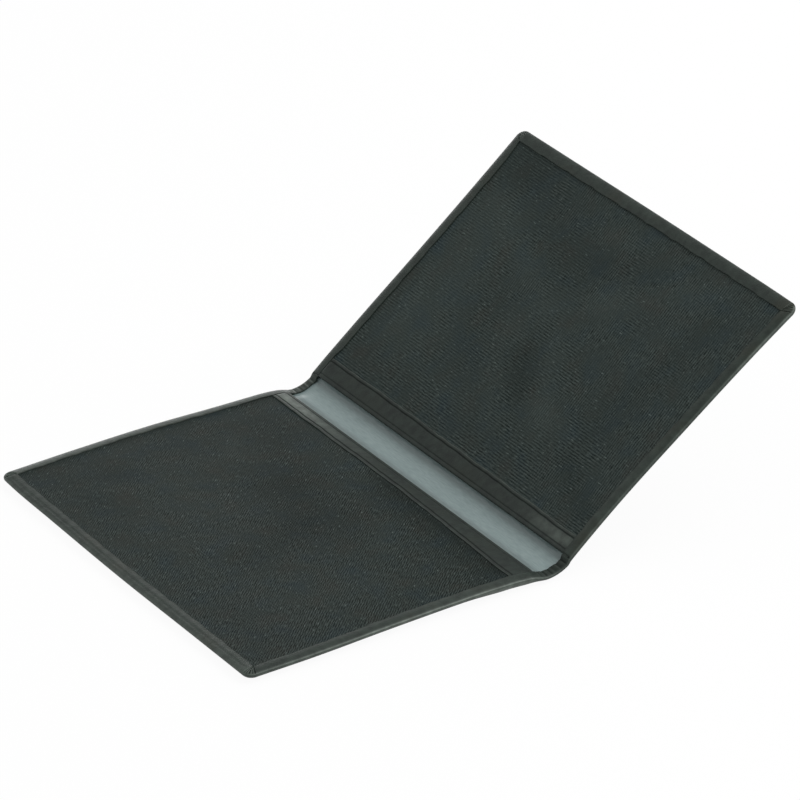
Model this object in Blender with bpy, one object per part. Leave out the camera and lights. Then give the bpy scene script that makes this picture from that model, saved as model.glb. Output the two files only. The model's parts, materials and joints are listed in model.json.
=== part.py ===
"""Leather badge case: a thin bifold cover with a full-size pocket in each leaf.

The case lies open. The left leaf rests on the table and the right leaf stands up from the fold.
X runs across the two leaves, Y along the fold, Z up. All sizes are in metres.

Every layer follows one section profile, the outer face of the leather, from the left outer edge
to the right one. A place in the section is a distance along that profile and a height above it,
towards the inside of the case.
"""
import math

import bmesh
import bpy
import numpy as np
from mathutils import Matrix, Vector

MM = 0.001

# Leather cover, laid flat
CASE_LENGTH = 110.0 * MM        # along the fold
LEAF_WIDTH = 78.5 * MM          # outer edge to pocket mouth
GUTTER_WIDTH = 10.5 * MM        # pocket mouth to pocket mouth
CORNER_RADIUS = 3.0 * MM
OUTER_HEM_WIDTH = 3.1 * MM      # leather turned in along the outer edges
SIDE_HEM_WIDTH = 2.8 * MM       # leather turned in along the two ends
EDGE_ROLL_RADIUS = 0.55 * MM

# How the case lies open
FOLD_ANGLE = math.radians(38.2)       # right leaf against the left one, from flat
DIP_ANGLE = math.radians(10.0)        # bend of the left leaf down to the table near its mouth
DIP_WIDTH = 9.0 * MM                  # length of that bend
DIP_PAST_MOUTH = 1.0 * MM             # part of the bend that lies in the gutter
CLOSED_FOLD_ANGLE = math.radians(180.0)

# Thickness of each layer, from the outside in
LEATHER = 0.60 * MM
BOARD = 0.30 * MM
LINING = 0.10 * MM
FACE_CLOTH = 0.12 * MM
HEM_LEATHER = 0.40 * MM         # pared thinner than the cover
TRIM_LEATHER = 0.28 * MM
GLUE_LINE = 0.05 * MM           # between glued layers
POCKET_ROOM = 0.30 * MM         # empty pocket, between the lining and the face
TUCK_GAP = 0.30 * MM            # from a layer's edge to the fold of the hem around it

# Pocket mouths
LEFT_TRIM_WIDTH = 4.3 * MM
RIGHT_TRIM_WIDTH = 5.7 * MM
TRIM_RETURN_WIDTH = 3.0 * MM    # trim folded behind the pocket face
TRIM_CREASE_INSET = 1.0 * MM    # crease line from the trim's edge
TRIM_CREASE_DEPTH = 0.10 * MM
TRIM_CREASE_WIDTH = 0.40 * MM
MOUTH_INSET = 0.10 * MM         # from the folded trim to the step of the hem
HEM_STEP_WIDTH = 0.80 * MM      # the hem drops to the gutter over this width
BOARD_SETBACK = 8.5 * MM        # from the pocket mouth to the board
LINING_RAMP_WIDTH = 1.50 * MM   # the lining drops off the board over this width

# Folds
FOLD_SPACING = 4.2 * MM         # between the two fold lines
FOLD_AXIS_HEIGHT = 0.60 * MM    # fold line above the outer face of the leather
FOLD_GAP = 0.15 * MM            # clearance beside a fold line

# Mesh fineness
FACET_ANGLE = math.radians(3.0)
CORNER_FACETS = 8
ROLL_FACETS = 4
NOSE_FACETS = 8
REACH = 3.0 * MM                # how far the cutters run past the case

# Sizes that follow from those above
HALF_LENGTH = CASE_LENGTH / 2
COVER_WIDTH = 2 * LEAF_WIDTH + GUTTER_WIDTH
LEFT_MOUTH = LEAF_WIDTH
RIGHT_MOUTH = LEAF_WIDTH + GUTTER_WIDTH
GUTTER_MIDDLE = LEAF_WIDTH + GUTTER_WIDTH / 2
LEFT_FOLD = GUTTER_MIDDLE - FOLD_SPACING / 2
RIGHT_FOLD = GUTTER_MIDDLE + FOLD_SPACING / 2

BOARD_BASE = LEATHER + GLUE_LINE
LINING_ON_BOARD = BOARD_BASE + BOARD + GLUE_LINE
LINING_IN_GUTTER = LEATHER + GLUE_LINE
FACE_BASE = LINING_ON_BOARD + LINING + POCKET_ROOM
FACE_TOP = FACE_BASE + FACE_CLOTH
LEAF_HEM_BASE = FACE_TOP + GLUE_LINE
GUTTER_HEM_BASE = LINING_IN_GUTTER + LINING + GLUE_LINE
LEAF_THICKNESS = LEAF_HEM_BASE + HEM_LEATHER
GUTTER_THICKNESS = GUTTER_HEM_BASE + HEM_LEATHER
TUCK = LEATHER + TUCK_GAP       # from the case's edge to the edge of a tucked layer

CLOSING_TRAVEL = (CLOSED_FOLD_ANGLE - FOLD_ANGLE) / 2
OPENING_TRAVEL = FOLD_ANGLE / 2

COLOURS = {
    "black_cowhide": (0.042, 0.046, 0.044, 1.0),
    "trim_cowhide": (0.036, 0.040, 0.038, 1.0),
    "grey_board": (0.150, 0.140, 0.125, 1.0),
    "grey_satin": (0.200, 0.265, 0.265, 1.0),
    "black_nylon": (0.027, 0.034, 0.035, 1.0),
}
ROUGHNESS = {
    "black_cowhide": 0.50,
    "trim_cowhide": 0.45,
    "grey_board": 0.90,
    "grey_satin": 0.35,
    "black_nylon": 0.65,
}


# Section profile

def profile_runs():
    """Length and turn of each run of the profile, from the left outer edge."""
    return [
        (LEAF_WIDTH - DIP_WIDTH + DIP_PAST_MOUTH, 0.0),
        (DIP_WIDTH, -DIP_ANGLE),
        (GUTTER_WIDTH - DIP_PAST_MOUTH, DIP_ANGLE + FOLD_ANGLE),
        (LEAF_WIDTH, 0.0),
    ]


def step_along(x, z, heading, length, turn):
    """Move along a straight run, or along an arc when the run turns."""
    if turn == 0.0:
        return x + length * math.cos(heading), z + length * math.sin(heading), heading
    radius = length / turn
    end = heading + turn
    x += radius * (math.sin(end) - math.sin(heading))
    z -= radius * (math.cos(end) - math.cos(heading))
    return x, z, end


def walk_profile(distance, first_heading):
    """Position and heading at a distance along the profile, before the origin is set."""
    x, z, heading = 0.0, 0.0, first_heading
    if distance < 0.0:
        return step_along(x, z, heading, distance, 0.0)
    runs = profile_runs()
    for index, (length, turn) in enumerate(runs):
        past_edge = index == len(runs) - 1
        part = distance if past_edge else min(distance, length)
        x, z, heading = step_along(x, z, heading, part, turn * part / length)
        distance -= part
        if distance <= 0.0:
            break
    return x, z, heading


def gutter_low_point(first_heading):
    """Height of the lowest point of the gutter, with the left outer edge at zero."""
    arc_start = LEAF_WIDTH + DIP_PAST_MOUTH
    z, heading = walk_profile(arc_start, first_heading)[1:]
    radius = (GUTTER_WIDTH - DIP_PAST_MOUTH) / (DIP_ANGLE + FOLD_ANGLE)
    return z - radius * (1.0 - math.cos(heading))


def resting_heading():
    """Tilt of the left leaf that sets its outer edge and the gutter on the table."""
    low, high = 0.0, DIP_ANGLE
    for _ in range(60):
        middle = (low + high) / 2
        if gutter_low_point(middle) > 0.0:
            high = middle
        else:
            low = middle
    return (low + high) / 2


REST_HEADING = resting_heading()


def overall_centre():
    """X of the middle of the whole case, between its two rolled outer edges."""
    left = -(LEAF_THICKNESS - EDGE_ROLL_RADIUS) * math.sin(REST_HEADING)
    x, _, heading = walk_profile(COVER_WIDTH, REST_HEADING)
    right = x - EDGE_ROLL_RADIUS * (math.cos(heading) + math.sin(heading) - 1.0)
    return (left + right) / 2


CENTRE_X = overall_centre()


def section_point(distance, height):
    """X and Z of a point at a distance along the profile and a height above it."""
    x, z, heading = walk_profile(distance, REST_HEADING)
    return x - CENTRE_X - height * math.sin(heading), z + height * math.cos(heading)


def stations(start, end, breaks=()):
    """Distances from start to end where the outline needs a point."""
    marks = {start, end}
    marks.update(mark for mark in breaks if start < mark < end)
    position = 0.0
    for length, turn in profile_runs():
        count = max(1, math.ceil(abs(turn) / FACET_ANGLE))
        marks.update(position + length * index / count for index in range(count + 1))
        position += length
    return sorted(mark for mark in marks if start <= mark <= end)


def heights(distances, levels):
    """Height at each distance, read from (distance, height) corners."""
    at, level = zip(*levels)
    return np.interp(distances, at, level)


def band_outline(start, end, low_levels, high_levels):
    """Closed section outline of a layer between two height lines."""
    breaks = [level[0] for level in low_levels + high_levels]
    along = stations(start, end, breaks)
    low = list(zip(along, heights(along, low_levels)))
    high = list(zip(along, heights(along, high_levels)))
    return [section_point(*place) for place in low + high[::-1]]


def level(height):
    """A height line that stays at one height."""
    return [(0.0, height)]


def stepped(leaf_height, gutter_height, width, setback=0.0):
    """A height line that drops from the leaf's height to the gutter's at each mouth."""
    left = LEFT_MOUTH - setback
    right = RIGHT_MOUTH + setback
    return [
        (left, leaf_height),
        (left + width, gutter_height),
        (right - width, gutter_height),
        (right, leaf_height),
    ]


# Mesh tools

def extrude_section(name, outline, half_length):
    """Solid with a section outline, extruded along Y to both sides."""
    curve = bpy.data.curves.new(name + "_outline", "CURVE")
    curve.dimensions = "2D"
    curve.fill_mode = "BOTH"
    curve.extrude = half_length
    spline = curve.splines.new("POLY")
    spline.points.add(len(outline) - 1)
    for point, (x, z) in zip(spline.points, outline):
        point.co = (x, z, 0.0, 1.0)
    spline.use_cyclic_u = True
    guide = bpy.data.objects.new(name + "_outline", curve)
    bpy.context.scene.collection.objects.link(guide)
    guide.rotation_euler = (math.pi / 2, 0.0, 0.0)
    bpy.context.view_layer.update()
    evaluated = guide.evaluated_get(bpy.context.evaluated_depsgraph_get())
    mesh = bpy.data.meshes.new_from_object(evaluated)
    mesh.transform(guide.matrix_world)
    mesh.name = name
    bpy.data.objects.remove(guide)
    bpy.data.curves.remove(curve)
    tidy_mesh(mesh)
    return mesh


def tidy_mesh(mesh):
    """Weld the caps, merge their triangles and turn every face outwards."""
    bm = bmesh.new()
    bm.from_mesh(mesh)
    bmesh.ops.remove_doubles(bm, verts=bm.verts, dist=1e-7)
    bmesh.ops.dissolve_limit(bm, angle_limit=0.001, verts=bm.verts, edges=bm.edges)
    bmesh.ops.recalc_face_normals(bm, faces=bm.faces)
    bm.to_mesh(mesh)
    bm.free()


def at_outer_end(vertex, distance):
    """True for a vertex that lies on the end of a layer at this distance."""
    x, z, heading = walk_profile(distance, REST_HEADING)
    offset = Vector((vertex.co.x - (x - CENTRE_X), vertex.co.z - z))
    return abs(offset.dot(Vector((math.cos(heading), math.sin(heading))))) < 1e-5


def round_corners(mesh, distances, radius):
    """Round the upright corners of a layer at its outer ends."""
    bm = bmesh.new()
    bm.from_mesh(mesh)
    corners = []
    for edge in bm.edges:
        first, second = edge.verts
        upright = abs(first.co.y - second.co.y) < 1e-6
        outer = any(at_outer_end(first, d) and at_outer_end(second, d) for d in distances)
        if upright and outer:
            corners.append(edge)
    bmesh.ops.bevel(bm, geom=corners, offset=radius, segments=CORNER_FACETS, profile=0.5,
                    affect="EDGES")
    bm.to_mesh(mesh)
    bm.free()


def roll_edges(mesh, radius):
    """Round the whole rim of a layer, where its faces meet at a sharp angle."""
    bm = bmesh.new()
    bm.from_mesh(mesh)
    rim = [edge for edge in bm.edges if edge.calc_face_angle(0.0) > math.radians(60.0)]
    bmesh.ops.bevel(bm, geom=rim, offset=radius, segments=ROLL_FACETS, profile=0.5,
                    affect="EDGES")
    bm.to_mesh(mesh)
    bm.free()


def layer_mesh(name, start, end, low_levels, high_levels, edge_inset, rounded):
    """One flat layer of the case; its outer corners follow the corners of the cover."""
    outline = band_outline(start, end, low_levels, high_levels)
    mesh = extrude_section(name, outline, HALF_LENGTH - edge_inset)
    round_corners(mesh, rounded, CORNER_RADIUS - edge_inset)
    return mesh


def add_object(name, mesh, collection, material=None, pivot=None):
    """Object from a mesh in world coordinates, hung on a pivot when it moves."""
    mesh.name = name
    item = bpy.data.objects.new(name, mesh)
    collection.objects.link(item)
    if pivot is not None:
        mesh.transform(Matrix.Translation(-pivot.matrix_world.translation))
        item.parent = pivot
    if material is not None:
        mesh.materials.clear()
        mesh.materials.append(material)
    return item


def add_cutter(name, mesh, cutters):
    """A solid that only cuts others."""
    cutter = add_object(name, mesh, cutters)
    cutter.display_type = "WIRE"
    cutter.hide_render = True
    return cutter


def cut(item, cutter, operation="DIFFERENCE"):
    """Boolean of one object with a cutter."""
    modifier = item.modifiers.new(cutter.name, "BOOLEAN")
    modifier.operation = operation
    modifier.solver = "EXACT"
    modifier.object = cutter


def add_pivot(name, distance, collection, parent):
    """Empty on a fold line, or at the origin for the leaf that stays."""
    pivot = bpy.data.objects.new(name, None)
    pivot.empty_display_size = 5.0 * MM
    collection.objects.link(pivot)
    place = Vector((0.0, 0.0, 0.0))
    if distance is not None:
        x, z = section_point(distance, FOLD_AXIS_HEIGHT)
        place = Vector((x, 0.0, z))
    pivot.location = place
    if parent is not None:
        pivot.parent = parent
        pivot.location = place - parent.matrix_world.translation
    bpy.context.view_layer.update()
    return pivot


def make_material(name):
    """Principled material with the colour and roughness of its table row."""
    material = bpy.data.materials.new(name)
    material.use_nodes = True
    shader = material.node_tree.nodes["Principled BSDF"]
    shader.inputs["Base Color"].default_value = COLOURS[name]
    shader.inputs["Roughness"].default_value = ROUGHNESS[name]
    shader.inputs["Metallic"].default_value = 0.0
    material.diffuse_color = COLOURS[name]
    return material


# Fold regions

def fold_clearance(height):
    """Distance from a fold line to the pieces beside it.

    Above the line the pieces lean apart by half the closing travel, and below it by half the
    opening travel, so that they never meet while the case folds.
    """
    above = height - FOLD_AXIS_HEIGHT
    travel = CLOSING_TRAVEL if above > 0.0 else OPENING_TRAVEL
    return FOLD_GAP + abs(above) * math.tan(travel / 2)


def fold_edge(fold, side):
    """Section places of the cut beside a fold line, from below the case to above it."""
    rise = (-REACH, FOLD_AXIS_HEIGHT, LEAF_THICKNESS + REACH)
    return [(fold + side * fold_clearance(height), height) for height in rise]


def outer_edge(distance):
    """Section places past an outer edge of the case."""
    return [(distance, -REACH), (distance, LEAF_THICKNESS + REACH)]


def region_mesh(name, left_edge, right_edge):
    """Solid that holds everything between two cuts."""
    low = [(mark, -REACH) for mark in stations(left_edge[0][0], right_edge[0][0])]
    high_span = stations(left_edge[-1][0], right_edge[-1][0])
    high = [(mark, LEAF_THICKNESS + REACH) for mark in high_span]
    places = low + right_edge[1:-1] + high[::-1] + left_edge[1:-1][::-1]
    outline = [section_point(*place) for place in places]
    return extrude_section(name, outline, HALF_LENGTH + REACH)


def make_regions(cutters):
    """The three stretches of the case: left leaf, spine and right leaf."""
    past_left = outer_edge(-REACH)
    past_right = outer_edge(COVER_WIDTH + REACH)
    spans = {
        "left": (past_left, fold_edge(LEFT_FOLD, -1)),
        "spine": (fold_edge(LEFT_FOLD, 1), fold_edge(RIGHT_FOLD, -1)),
        "right": (fold_edge(RIGHT_FOLD, 1), past_right),
    }
    regions = {}
    for side, (left_edge, right_edge) in spans.items():
        mesh = region_mesh(side + "_region", left_edge, right_edge)
        regions[side] = add_cutter(side + "_region", mesh, cutters)
    return regions


# Pieces

def make_covers(parts, cutters, pivots, regions, leather):
    """The one leather cover with its turned-in hems, in three stretches."""
    ends = (0.0, COVER_WIDTH)
    outer = stepped(LEAF_THICKNESS, GUTTER_THICKNESS, HEM_STEP_WIDTH)
    skin = layer_mesh("cover", *ends, level(0.0), outer, 0.0, ends)
    roll_edges(skin, EDGE_ROLL_RADIUS)

    inner_ends = (LEATHER, COVER_WIDTH - LEATHER)
    hem_base = stepped(LEAF_HEM_BASE, GUTTER_HEM_BASE, HEM_STEP_WIDTH)
    room = layer_mesh("cover_room", *inner_ends, level(LEATHER), hem_base, LEATHER, inner_ends)
    room_cutter = add_cutter("cover_room", room, cutters)

    window_low = level(LEATHER + GLUE_LINE)
    window_high = level(LEAF_THICKNESS + REACH)
    window_ends = (OUTER_HEM_WIDTH, COVER_WIDTH - OUTER_HEM_WIDTH)
    window_outline = band_outline(*window_ends, window_low, window_high)
    window = extrude_section("cover_window", window_outline, HALF_LENGTH - SIDE_HEM_WIDTH)
    window_cutter = add_cutter("cover_window", window, cutters)

    for side, region in regions.items():
        name = side + "_cover"
        cover = add_object(name, skin.copy(), parts, leather, pivots[side])
        cut(cover, room_cutter)
        cut(cover, window_cutter)
        cut(cover, region, "INTERSECT")


def make_linings(parts, pivots, regions, satin):
    """The one satin lining: the back of each pocket and the floor of the gutter."""
    ends = (TUCK, COVER_WIDTH - TUCK)
    bend = BOARD_SETBACK - GLUE_LINE
    low = stepped(LINING_ON_BOARD, LINING_IN_GUTTER, LINING_RAMP_WIDTH, bend)
    high = stepped(LINING_ON_BOARD + LINING, LINING_IN_GUTTER + LINING, LINING_RAMP_WIDTH, bend)
    whole = layer_mesh("lining", *ends, low, high, TUCK, ends)
    names = {"left": "left_pocket_lining", "spine": "spine_lining", "right": "right_pocket_lining"}
    for side, region in regions.items():
        lining = add_object(names[side], whole.copy(), parts, satin, pivots[side])
        cut(lining, region, "INTERSECT")


def leaf_span(side, outer_inset, mouth_inset):
    """Start and end of a layer that lies in one leaf only, and its outer end."""
    if side == "left":
        return outer_inset, LEFT_MOUTH - mouth_inset, outer_inset
    return RIGHT_MOUTH + mouth_inset, COVER_WIDTH - outer_inset, COVER_WIDTH - outer_inset


def make_board(side, parts, pivots, material):
    """Stiffener between the leather and the lining, short of the fold."""
    start, end, outer = leaf_span(side, TUCK, BOARD_SETBACK)
    mesh = layer_mesh(side + "_board", start, end, level(BOARD_BASE),
                      level(BOARD_BASE + BOARD), TUCK, (outer,))
    add_object(side + "_board", mesh, parts, material, pivots[side])


def trim_nose_radius():
    """Outer radius of the trim where it folds round the pocket face."""
    return FACE_CLOTH / 2 + GLUE_LINE + TRIM_LEATHER


def make_pocket_face(side, parts, pivots, nylon):
    """Woven front of a pocket, tucked under the hem on three sides."""
    mouth_inset = MOUTH_INSET + trim_nose_radius()
    start, end, outer = leaf_span(side, TUCK, mouth_inset)
    mesh = layer_mesh(side + "_pocket_face", start, end, level(FACE_BASE), level(FACE_TOP),
                      TUCK, (outer,))
    add_object(side + "_pocket_face", mesh, parts, nylon, pivots[side])


def trim_profile(width):
    """Trim section as (distance from the mouth, height), folded round the face's edge."""
    middle = FACE_BASE + FACE_CLOTH / 2
    outer = trim_nose_radius()
    inner = FACE_CLOTH / 2 + GLUE_LINE
    centre = MOUTH_INSET + outer
    crease = width - TRIM_CREASE_INSET
    half = TRIM_CREASE_WIDTH / 2
    places = [(TRIM_RETURN_WIDTH, middle - outer)]
    places += nose_arc(centre, middle, outer, 1)
    places += [
        (crease - half, middle + outer),
        (crease, middle + outer - TRIM_CREASE_DEPTH),
        (crease + half, middle + outer),
        (width, middle + outer),
        (width, middle + inner),
    ]
    places += nose_arc(centre, middle, inner, -1)
    places += [(TRIM_RETURN_WIDTH, middle - inner)]
    return places


def nose_arc(centre, middle, radius, direction):
    """Half circle round the mouth edge, from below up, or from above down."""
    places = []
    for index in range(NOSE_FACETS + 1):
        angle = direction * (-math.pi / 2 + math.pi * index / NOSE_FACETS)
        places.append((centre - radius * math.cos(angle), middle + radius * math.sin(angle)))
    return places


def make_mouth_trim(side, width, parts, cutters, pivots, leather):
    """Leather strip folded over the mouth of a pocket; its front stops at the side hems."""
    mouth, direction = (LEFT_MOUTH, -1) if side == "left" else (RIGHT_MOUTH, 1)
    outline = [section_point(mouth + direction * away, height) for away, height in trim_profile(width)]
    mesh = extrude_section(side + "_mouth_trim", outline, HALF_LENGTH - TUCK)
    trim = add_object(side + "_mouth_trim", mesh, parts, leather, pivots[side])
    for end in (-1, 1):
        cut(trim, trim_end_cutter(side, mouth, direction, width, end, cutters))


def trim_end_cutter(side, mouth, direction, width, end, cutters):
    """Room for the side hem over one end of a trim."""
    start, stop = sorted((mouth - direction * REACH, mouth + direction * (width + REACH)))
    outline = band_outline(start, stop, level(FACE_TOP), level(LEAF_THICKNESS + REACH))
    inner = HALF_LENGTH - SIDE_HEM_WIDTH - TUCK_GAP
    outer = HALF_LENGTH + REACH
    name = side + "_trim_" + ("near" if end < 0 else "far") + "_end"
    mesh = extrude_section(name, outline, (outer - inner) / 2)
    mesh.transform(Matrix.Translation((0.0, end * (outer + inner) / 2, 0.0)))
    return add_cutter(name, mesh, cutters)


# Whole case

def clear_scene():
    for item in list(bpy.data.objects):
        bpy.data.objects.remove(item)
    for collection in list(bpy.data.collections):
        bpy.data.collections.remove(collection)


def add_collection(name):
    collection = bpy.data.collections.new(name)
    bpy.context.scene.collection.children.link(collection)
    return collection


def make_pivots(parts):
    """One empty for each moving stretch, each on the fold line that carries it."""
    left = add_pivot("left_leaf_origin", None, parts, None)
    spine = add_pivot("left_fold_line", LEFT_FOLD, parts, left)
    right = add_pivot("right_fold_line", RIGHT_FOLD, parts, spine)
    return {"left": left, "spine": spine, "right": right}


def report_sizes():
    """Numbers that the joints and the resting face are stated with."""
    for name, fold in (("left fold", LEFT_FOLD), ("right fold", RIGHT_FOLD)):
        x, z = section_point(fold, FOLD_AXIS_HEIGHT)
        print(f"{name} line at x {x:.6f} z {z:.6f}")
    x, z = section_point(LEAF_WIDTH / 2, 0.0)
    print(f"left leaf underside at x {x:.6f} z {z:.6f} tilt {math.degrees(REST_HEADING):.4f}")
    print(f"closing travel {math.degrees(CLOSING_TRAVEL):.3f}")
    print(f"opening travel {math.degrees(OPENING_TRAVEL):.3f}")
    print(f"leaf thickness {LEAF_THICKNESS:.6f}")


def main():
    clear_scene()
    parts = add_collection("badge_case")
    cutters = add_collection("badge_case_cutters")
    materials = {name: make_material(name) for name in COLOURS}
    pivots = make_pivots(parts)
    regions = make_regions(cutters)
    make_covers(parts, cutters, pivots, regions, materials["black_cowhide"])
    make_linings(parts, pivots, regions, materials["grey_satin"])
    for side, trim_width in (("left", LEFT_TRIM_WIDTH), ("right", RIGHT_TRIM_WIDTH)):
        make_board(side, parts, pivots, materials["grey_board"])
        make_pocket_face(side, parts, pivots, materials["black_nylon"])
        make_mouth_trim(side, trim_width, parts, cutters, pivots, materials["trim_cowhide"])
    report_sizes()


main()
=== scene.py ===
import json
import math

import bmesh
import bpy
import numpy as np
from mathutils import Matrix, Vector


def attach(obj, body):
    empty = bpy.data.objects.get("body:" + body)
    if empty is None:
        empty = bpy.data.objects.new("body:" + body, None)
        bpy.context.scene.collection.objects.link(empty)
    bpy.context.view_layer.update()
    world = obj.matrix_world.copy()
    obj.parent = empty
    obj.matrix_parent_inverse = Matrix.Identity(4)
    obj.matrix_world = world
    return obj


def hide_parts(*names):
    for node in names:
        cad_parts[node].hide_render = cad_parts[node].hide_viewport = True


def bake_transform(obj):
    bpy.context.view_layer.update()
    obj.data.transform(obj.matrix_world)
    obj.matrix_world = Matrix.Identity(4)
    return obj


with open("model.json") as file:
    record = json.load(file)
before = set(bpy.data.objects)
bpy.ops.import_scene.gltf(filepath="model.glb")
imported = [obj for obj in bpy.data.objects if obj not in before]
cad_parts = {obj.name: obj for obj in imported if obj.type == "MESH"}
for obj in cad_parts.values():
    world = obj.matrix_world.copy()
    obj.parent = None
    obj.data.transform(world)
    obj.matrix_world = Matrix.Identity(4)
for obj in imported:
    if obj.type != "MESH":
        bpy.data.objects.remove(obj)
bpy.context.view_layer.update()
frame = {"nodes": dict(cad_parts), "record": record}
mm = 0.001
scene = bpy.context.scene
print("frame loaded:", len(frame["nodes"]), "nodes")

# The case laid flat, in millimetres and degrees. A place on it is the distance across from the left
# outer edge, y along the fold, and the height above the outer face of the leather.
caseSizes = {
    "length": 110.0,
    "leafWidth": 78.5,
    "gutterWidth": 10.5,
    "cornerRadius": 2.4,
    "dipWidth": 9.0,
    "dipPastMouth": 1.0,
    "dipAngle": 10.0,
    "foldAngle": 38.2,
}
halfLength = caseSizes["length"] / 2
leftMouth = caseSizes["leafWidth"]
rightMouth = leftMouth + caseSizes["gutterWidth"]
coverWidth = rightMouth + caseSizes["leafWidth"]
gutterMiddle = coverWidth / 2

# Heights of the layers on a leaf and in the gutter, and where they change, in millimetres
layerHeights = {
    "leather": 0.60,
    "board": (0.65, 0.95),
    "liningOnBoard": (1.00, 1.10),
    "liningInGutter": (0.65, 0.75),
    "face": (1.40, 1.52),
    "leafHemBase": 1.57,
    "leafTop": 1.97,
    "gutterHemBase": 0.80,
    "gutterTop": 1.20,
    "boardSetback": 8.5,          # the boards end that far from the mouth lines
    "liningRamp": 1.5,
    "topFall": (-2.0, 3.2),       # where the hem's top falls into the gutter, from the left mouth
    "topRise": (-1.5, 0.1),       # and where it rises again, from the right mouth
    "baseRamp": 1.2,
    "tuck": 0.9,        # the inner layers end that far from the outer edges and the ends
}
tuck = layerHeights["tuck"]
setback = layerHeights["boardSetback"]

# How fine the meshes are near the fold and how they are cleaned, in millimetres and degrees
meshing = {
    "fineMargin": 2.5,  # the fine steps go that far on to each leaf
    "weld": 0.0002,
    "speck": 0.00001,
    "knotWeld": 0.25,   # among the crowded points of a hem's inner corner
    "sharpAngle": 50.0,
}


# Smooth line through a few (place, value) points: between two of them a cubic whose slopes are the
# mean slopes around its ends.
def softLine(places, points):
    at, value = np.array(points, float).T
    slope = np.gradient(value, at)
    index = np.clip(np.searchsorted(at, places) - 1, 0, len(at) - 2)
    width = at[index + 1] - at[index]
    t = np.clip((places - at[index]) / width, 0.0, 1.0)
    return ((2 * t**3 - 3 * t**2 + 1) * value[index] + (t**3 - 2 * t**2 + t) * width * slope[index]
            + (3 * t**2 - 2 * t**3) * value[index + 1] + (t**3 - t**2) * width * slope[index + 1])


# Hand-made unevenness: five sines, each shorter and weaker than the last, with seeded phases.
def unevenness(places, size, span, seed):
    phases = np.random.default_rng(seed).uniform(0.0, 2 * np.pi, 5)
    total = np.zeros(np.shape(places))
    for turn, phase in enumerate(phases):
        total = total + np.sin(2 * np.pi * places * (1 + 0.83 * turn) / span + phase) / (1 + turn)
    return size * total / 1.5


# From 0 at low to 1 at high, easing in and out.
def ease(values, low, high):
    t = np.clip((values - low) / (high - low), 0.0, 1.0)
    return t * t * (3 - 2 * t)


# 1 between two places and 0 outside: it eases in over the first pair and out over the second.
def between(values, rise, fall):
    return ease(values, *rise) * (1 - ease(values, *fall))


# Bell: 1 at distance 0, and 1/e at the width.
def bell(distance, width):
    return np.exp(-(distance / width)**2)


# Value that is a share of the way from first to last.
def partWay(first, last, share):
    return first + (last - first) * share


# How far the real case strays from square, in millimetres, at distances across or along it
strays = {
    "nearEnd": [(0, -1.4), (16, -1.4), (40, -0.5), (63, 0.0), (78, -0.25), (86, -0.05), (94, 0.25),
                (105, 0.4), (130, -0.45), (154, -1.7), (167.5, -2.75)],
    "farEnd": [(0, 0.0), (20, 0.8), (42, 1.1), (63, 0.2), (80, -0.1), (95, 0.3), (105, 0.35), (130, 0.2),
               (154, 0.35), (167.5, 0.6)],
    "leftEdge": [(-55, 0.05), (-32, -0.14), (0, -0.42), (32, -0.06), (47, 0.15), (55, 0.55)],
    "rightEdge": [(-55, -0.36), (-45, -0.14), (-32, 0.0), (0, 0.27), (32, 0.37), (55, 0.45)],
}


# Places on the flat case after it strays from square: each end shifts the points near it most.
def strayed(across, along):
    farShare = 0.5 + along / caseSizes["length"]
    near = softLine(across, strays["nearEnd"])
    far = softLine(across, strays["farEnd"])
    leftShare = np.clip(1 - across / leftMouth, 0.0, 1.0)
    rightShare = np.clip((across - rightMouth) / caseSizes["leafWidth"], 0.0, 1.0)
    shiftAcross = (leftShare * softLine(along, strays["leftEdge"])
                   + rightShare * softLine(along, strays["rightEdge"]))
    return across + shiftAcross, along + near * (1 - farShare) + far * farShare


restingFace = next(m for m in frame["record"]["mounts"] if m["name"] == "left_leaf_back")
startHeading = math.asin(restingFace["axis"][0])
startX = restingFace["pos_m"][0] / mm - leftMouth / 2 * math.cos(startHeading)
# Length and turn of each stretch of the section: left leaf, dip, fold and right leaf
sectionRuns = [
    (leftMouth - caseSizes["dipWidth"] + caseSizes["dipPastMouth"], 0.0),
    (caseSizes["dipWidth"], -math.radians(caseSizes["dipAngle"])),
    (caseSizes["gutterWidth"] - caseSizes["dipPastMouth"],
     math.radians(caseSizes["dipAngle"] + caseSizes["foldAngle"])),
    (caseSizes["leafWidth"], 0.0),
]


# X, z and heading of the leather's outer face: straight, down by the dip, up by the fold, straight.
# Each run adds its chord, length * sin(half turn) / half turn, at its heading plus the half turn.
def sectionAt(across):
    x = np.full(np.shape(across), startX)
    z = np.zeros(np.shape(across))
    heading = np.full(np.shape(across), startHeading)
    left = np.array(across, float)
    for number, (length, turn) in enumerate(sectionRuns):
        low = -np.inf if number == 0 else 0.0
        high = np.inf if number == len(sectionRuns) - 1 else length
        part = np.clip(left, low, high)
        halfTurn = turn * part / length / 2
        chord = part * np.sinc(halfTurn / np.pi)
        x = x + chord * np.cos(heading + halfTurn)
        z = z + chord * np.sin(heading + halfTurn)
        heading = heading + 2 * halfTurn
        left = left - part
    return x, z, heading


# World places in metres of places on the case: the section point, raised along its own normal.
def placed(across, along, height):
    across, along, height = np.broadcast_arrays(across, along, height)
    across, along = strayed(across, along)
    x, z, heading = sectionAt(across)
    return np.stack([x - height * np.sin(heading), along, z + height * np.cos(heading)], axis=-1) * mm


# Distances across and along as pairs.
def paired(across, along):
    return np.stack(np.broadcast_arrays(across, along), axis=-1)


# Share of the gutter at a distance across: 0 on the leaves, 1 between the two mouths, easing over ramp.
def gutterShare(across, ramp=1.0):
    return between(across, (leftMouth, leftMouth + ramp), (rightMouth - ramp, rightMouth))


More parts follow.
